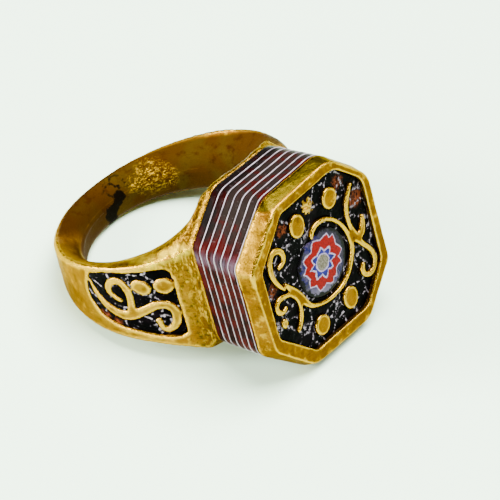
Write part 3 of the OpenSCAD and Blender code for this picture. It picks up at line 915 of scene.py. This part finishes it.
def cast_shank():
    """The band, shoulders and collar as one rough casting."""
    piece = soft_copy("cast_shank", "shank", SHANK_CELL, SHANK_ROUNDS)
    mesh = piece.data
    points = read_points(mesh)
    from_axis = distance_from_axis(points)
    plain = below(from_axis, *BAND_REACH) * below(points[:, 0], *BAND_END)
    inner = plain * below(from_axis, *BAND_INNER_REACH) * (points[:, 2] > 0)
    onto_cylinder(points)
    fill_under_head(points)
    for (rounds, share), part in ((BAND_EVENING, plain), (UPPER_EVENING, inner)):
        points = evened(mesh, points, rounds, share * part)
    write_points(mesh, points)
    push = added_lumps(points, SHANK_LUMPS)
    collar = above(points[:, 0], *COLLAR_LUMPS_START) * (distance_from_axis(points) > HOLE_WALL[0])
    push += COLLAR_ROUGH * collar * lumps(points, *COLLAR_LUMPS)
    write_points(mesh, points + skin_normals(mesh) * push[:, None])
    mark_edges(mesh, EDGE_ROUNDS)
    finish_piece(piece, BRONZE, "cast_bronze", "shank")


# The cap, the line along which its corner is hammered, and lumps as for the shank
CAP_CELL = 0.095
CAP_ROUNDS = 3
HAMMERED_FROM = (16.1, -9.0, 4.6)
HAMMERED_TO = (16.1, -5.6, 8.2)
HAMMERED_R = 1.9
HAMMERED_RISE = 0.16
HAMMERED_LUMPS = ((0.2, 2.4, 6), (0.08, 0.9, 7))
CAP_LUMPS = ((0.025, 1.6, 4), (0.012, 0.5, 5))


def cast_cap():
    """The cap: lip, rim, scrolls, ovals and wire, with a hammered corner."""
    piece = soft_copy("cast_cap", "face_cap", CAP_CELL, CAP_ROUNDS)
    mesh = piece.data
    points = read_points(mesh)
    hammered = near_line(points, HAMMERED_FROM, HAMMERED_TO, HAMMERED_R)
    push = added_lumps(points, CAP_LUMPS)
    push += hammered * added_lumps(points, HAMMERED_LUMPS, HAMMERED_RISE)
    write_points(mesh, points + skin_normals(mesh) * push[:, None])
    mark_edges(mesh, EDGE_ROUNDS)
    finish_piece(piece, BRONZE, "cast_bronze", "face_cap")


# How far an enamel pool swells into the metal round it, its lumps' heights and sizes, and its skin
POOL_SWELL = 0.07
POOL_LUMPS = ((0.05, 0.9), (0.02, 0.35))
POOL_CELL = 0.08
POOL_ROUNDS = 2


def enamel_pool(name, node, seed):
    """Enamel that fills its recess with an uneven top."""
    piece = soft_copy(name, node, POOL_CELL, POOL_ROUNDS)
    mesh = piece.data
    points = read_points(mesh)
    rows = [(height, size, seed + i) for i, (height, size) in enumerate(POOL_LUMPS)]
    push = added_lumps(points, rows, POOL_SWELL)
    drop = near(points, DROP_PLACE, DROP_R * DROP_SPREAD)
    push += DROP_HEIGHT * drop * (0.6 + lumps(points, 0.3, seed + 2))
    write_points(mesh, points + skin_normals(mesh) * push[:, None])
    finish_piece(piece, ENAMEL, "black_enamel", node)


GLASS_CELL = 0.07
GLASS_ROUNDS = 5
GLASS_LUMPS = ((0.01, 1.2, 20),)


def glass_dome():
    """The polished glass disc, very slightly uneven."""
    piece = soft_copy("glass_dome", "glass_disc", GLASS_CELL, GLASS_ROUNDS)
    points = read_points(piece.data)
    push = added_lumps(points, GLASS_LUMPS)
    write_points(piece.data, points + skin_normals(piece.data) * push[:, None])
    finish_piece(piece, GLASS, "patterned_glass", "glass_disc")


# The stack of layers between the shank and the cap

OUTLINE_STEP = 0.24
LAYER_ROWS = 4
# Points of a plate within this of its end face belong to its outline
OUTLINE_SLACK = 0.005
# Rows closer than this are joined
ROW_WELD = 0.0005
DARK_PROUD = -0.02
WHITE_PROUD = 0.04
# How far a layer's skin wanders, and how far the whole layer waves, with their sizes
UNEVEN = 0.08
UNEVEN_SIZE = 1.5
WAVE = 0.09
WAVE_SIZE = 2.8
# The dark layers lap over each edge of a white line by this much
LAP = 0.06


def outline_at(node, highest):
    """The head's outline on a plate's lower or upper face, in order round the head."""
    points = to_ring(read_points(frame["nodes"][node].data))
    level = points[:, 0].max() if highest else points[:, 0].min()
    ring = np.unique(points[np.abs(points[:, 0] - level) < OUTLINE_SLACK][:, 1:].round(3), axis=0)
    ring = ring[np.argsort(np.arctan2(ring[:, 1], ring[:, 0]))]
    return level, ring


def even_points(low, high):
    """The same places along two matching outlines, about a step apart."""
    low_all, high_all = [], []
    for i in range(len(low)):
        j = (i + 1) % len(low)
        count = max(1, round(float(np.linalg.norm(high[j] - high[i])) / OUTLINE_STEP))
        for k in range(count):
            low_all.append(low[i] + (low[j] - low[i]) * k / count)
            high_all.append(high[i] + (high[j] - high[i]) * k / count)
    return low_all, high_all


def outline_mesh(low, high):
    """One flat face with the lower outline, which also carries the upper one."""
    mesh = bpy.data.meshes.new("head outline")
    mesh.from_pydata([(0.0, *p) for p in low], [], [list(range(len(low)))])
    upper = mesh.attributes.new("upper", "FLOAT_VECTOR", "POINT")
    upper.data.foreach_set("vector", np.array([(0.0, *p) for p in high]).ravel())
    return mesh


class Tree:
    """A Geometry Nodes tree, with a short call for each step."""

    def __init__(self, name, inputs):
        self.tree = bpy.data.node_groups.new(name, "GeometryNodeTree")
        self.ids = {}
        for label, kind in inputs:
            made = self.tree.interface.new_socket(label, in_out="INPUT", socket_type=kind)
            self.ids[label] = made.identifier
        self.tree.interface.new_socket("Geometry", in_out="OUTPUT", socket_type="NodeSocketGeometry")
        self.given = self.tree.nodes.new("NodeGroupInput").outputs
        self.result = self.tree.nodes.new("NodeGroupOutput").inputs[0]

    def step(self, kind, settings=None, **values):
        node = self.tree.nodes.new(kind)
        for key, value in (settings or {}).items():
            setattr(node, key, value)
        for name, value in values.items():
            self.feed(node.inputs[name.replace("_", " ")], value)
        return node.outputs

    def feed(self, socket, value):
        if isinstance(value, bpy.types.NodeSocket):
            self.tree.links.new(value, socket)
        else:
            socket.default_value = value

    def math(self, operation, a, b=0.0):
        node = self.tree.nodes.new("ShaderNodeMath")
        node.operation = operation
        self.feed(node.inputs[0], a)
        self.feed(node.inputs[1], b)
        return node.outputs[0]

    def vector_math(self, operation, a, b=None, scale=None):
        node = self.tree.nodes.new("ShaderNodeVectorMath")
        node.operation = operation
        self.feed(node.inputs[0], a)
        if b is not None:
            self.feed(node.inputs[1], b)
        if scale is not None:
            self.feed(node.inputs["Scale"], scale)
        return node.outputs[0]

    def noise(self, place, size):
        """Noise from -0.5 to 0.5."""
        cloud = self.step("ShaderNodeTexNoise", Vector=place, Scale=1.0 / size, Detail=1.0)[0]
        return self.math("SUBTRACT", cloud, 0.5)


LAYER_INPUTS = [
    ("Outline", "NodeSocketGeometry"), ("From", "NodeSocketFloat"), ("To", "NodeSocketFloat"),
    ("Back", "NodeSocketFloat"), ("Front", "NodeSocketFloat"), ("Proud", "NodeSocketFloat"),
    ("Wave", "NodeSocketFloat"), ("Material", "NodeSocketMaterial"),
]


def layer_tree():
    """One layer: the outline raised from From to To, tapered as the head is and a little uneven."""
    made = Tree("head layer", LAYER_INPUTS)
    start = made.step("ShaderNodeCombineXYZ", X=made.given["From"])[0]
    base = made.step("GeometryNodeSetPosition", Geometry=made.given["Outline"], Offset=start)[0]
    thickness = made.math("SUBTRACT", made.given["To"], made.given["From"])
    rise = made.math("DIVIDE", thickness, LAYER_ROWS)
    body, top = base, True
    for _ in range(LAYER_ROWS):
        raised = made.step(
            "GeometryNodeExtrudeMesh", {"mode": "FACES"}, Mesh=body, Selection=top,
            Offset=Vector((1.0, 0.0, 0.0)), Offset_Scale=rise, Individual=False,
        )
        body, top = raised["Mesh"], raised["Top"]
    under = made.step("GeometryNodeFlipFaces", Mesh=base)[0]
    joined = made.tree.nodes.new("GeometryNodeJoinGeometry")
    made.feed(joined.inputs[0], under)
    made.feed(joined.inputs[0], body)
    closed = made.step("GeometryNodeMergeByDistance", Geometry=joined.outputs[0], Distance=ROW_WELD)[0]

    place = made.step("GeometryNodeInputPosition")[0]
    level, across, finger = made.step("ShaderNodeSeparateXYZ", Vector=place)
    upper = made.step("GeometryNodeInputNamedAttribute", {"data_type": "FLOAT_VECTOR"}, Name="upper")[0]
    height = made.math("SUBTRACT", made.given["Front"], made.given["Back"])
    share = made.math("DIVIDE", made.math("SUBTRACT", level, made.given["Back"]), height)
    flat = made.step("ShaderNodeCombineXYZ", Y=across, Z=finger)[0]
    side = made.vector_math("SUBTRACT", upper, flat)
    moved = made.vector_math("SCALE", side, scale=share)
    outward = made.vector_math("NORMALIZE", flat)
    part = made.math("DIVIDE", made.math("SUBTRACT", level, made.given["From"]), thickness)
    crown = made.math("MULTIPLY", made.math("MULTIPLY", part, made.math("SUBTRACT", 1.0, part)), 4.0)
    uneven = made.math("MULTIPLY", made.noise(place, UNEVEN_SIZE), UNEVEN)
    proud = made.math("ADD", made.math("MULTIPLY", crown, made.given["Proud"]), uneven)
    bulge = made.vector_math("SCALE", outward, scale=proud)
    wave = made.math("MULTIPLY", made.noise(flat, WAVE_SIZE), made.given["Wave"])
    lift = made.step("ShaderNodeCombineXYZ", X=wave)[0]
    offset = made.vector_math("ADD", made.vector_math("ADD", moved, bulge), lift)
    shaped = made.step("GeometryNodeSetPosition", Geometry=closed, Offset=offset)[0]
    smooth = made.step("GeometryNodeSetShadeSmooth", Geometry=shaped)[0]
    dressed = made.step("GeometryNodeSetMaterial", Geometry=smooth, Material=made.given["Material"])[0]
    made.feed(made.result, made.step("GeometryNodeRealizeInstances", Geometry=dressed)[0])
    return made


def layer_span(node):
    heads = to_ring(read_points(frame["nodes"][node].data))[:, 0]
    return float(heads.min()), float(heads.max())


def head_layers():
    """Every dark layer and white line of the stack, from one tree."""
    back, low = outline_at("dark_plate_1", False)
    front, high = outline_at("dark_plate_7", True)
    mesh = outline_mesh(*even_points(low, high))
    tree = layer_tree()
    plates = sorted(n for n in frame["nodes"] if "_plate_" in n)
    for node in plates:
        white = node.startswith("white")
        first, last = layer_span(node)
        lap = -LAP if white else LAP
        first, last = max(first - lap, back), min(last + lap, front)
        piece = add_object(node.replace("plate", "line" if white else "layer"), mesh.copy())
        stack = piece.modifiers.new("layer", "NODES")
        stack.node_group = tree.tree
        values = {
            "From": first, "To": last, "Back": back, "Front": front, "Wave": WAVE,
            "Proud": WHITE_PROUD if white else DARK_PROUD,
            "Material": WHITE_LINE if white else DARK_LAYER,
        }
        for label, value in values.items():
            stack[tree.ids[label]] = value
        bake(piece)
        finish_piece(piece, values["Material"], "white_line" if white else "dark_lamina", node)


cast_shank()
cast_cap()
head_layers()
enamel_pool("cap_enamel_pool", "face_enamel", 10)
enamel_pool("near_enamel_pool", "near_shoulder_enamel", 30)
enamel_pool("far_enamel_pool", "far_shoulder_enamel", 40)
glass_dome()

# Floor, camera and light

FLOOR_HALF = 1.2
PALE = (0.68, 0.93, 0.71)


def add_floor():
    mesh = bpy.data.meshes.new("floor")
    corners = [(x * FLOOR_HALF, y * FLOOR_HALF, 0.0) for x, y in ((-1, -1), (1, -1), (1, 1), (-1, 1))]
    mesh.from_pydata(corners, [], [(0, 1, 2, 3)])
    mesh.materials.append(Paint("pale floor").finish(Base_Color=PALE, Roughness=0.6))
    add_object("floor", mesh)


# The camera stands where the photo was taken from, on the ring's own axes
CAMERA_PLACE = in_world(454.48, -408.35, 375.03)
CAMERA_RIGHT = direction(0.752541, 0.620785, -0.219791)
CAMERA_UP = direction(-0.201269, 0.534592, 0.820794)
# Focal length in pixels of the photo, and the photo's width
FOCAL_PIXELS = 7761.79
PHOTO_WIDTH = 500
SENSOR = 36.0
NEAREST_SEEN = 0.05


def add_camera():
    data = bpy.data.cameras.new("camera")
    data.sensor_width = SENSOR
    data.lens = FOCAL_PIXELS / PHOTO_WIDTH * SENSOR
    data.clip_start = NEAREST_SEEN
    camera = add_object("camera", data)
    right = CAMERA_RIGHT.normalized()
    back = right.cross(CAMERA_UP).normalized()
    turn = Matrix((right, back.cross(right), back)).transposed().to_4x4()
    camera.matrix_world = Matrix.Translation(CAMERA_PLACE) @ turn
    bpy.context.scene.camera = camera


# Soft boxes: name, place in metres, width, height, power and colour
ABOVE_WHITE = (1.0, 0.99, 0.96)
WARM_WHITE = (1.0, 0.99, 0.92)
SOFT_BOXES = [
    ("soft box above", Vector((0.06, 0.12, 0.5)), 0.4, 0.4, 16.5, ABOVE_WHITE),
    ("soft box left", direction(-0.24, -0.32, 0.27), 0.2, 0.2, 7.0, WARM_WHITE),
    ("soft box low", direction(-0.30, -0.38, 0.14), 0.3, 0.1, 4.0, WARM_WHITE),
    ("soft box front", direction(0.10, -0.45, 0.09), 0.2, 0.1, 2.5, WARM_WHITE),
]
AIR_COLOR = (0.95, 1.0, 0.92)
AIR_STRENGTH = 0.28


def add_light(name, place, width, height, power, color):
    """A soft box that looks at the ring."""
    data = bpy.data.lights.new(name, "AREA")
    data.shape = "RECTANGLE"
    data.size, data.size_y = width, height
    data.energy = power
    data.color = color
    light = add_object(name, data)
    turn = (-place).to_track_quat("-Z", "Y").to_matrix().to_4x4()
    light.matrix_world = Matrix.Translation(place) @ turn


def add_studio_air():
    world = bpy.data.worlds.new("studio")
    bpy.context.scene.world = world
    world.use_nodes = True
    air = world.node_tree.nodes["Background"]
    air.inputs["Color"].default_value = (*AIR_COLOR, 1.0)
    air.inputs["Strength"].default_value = AIR_STRENGTH


add_floor()
add_camera()
for soft_box in SOFT_BOXES:
    add_light(*soft_box)
add_studio_air()
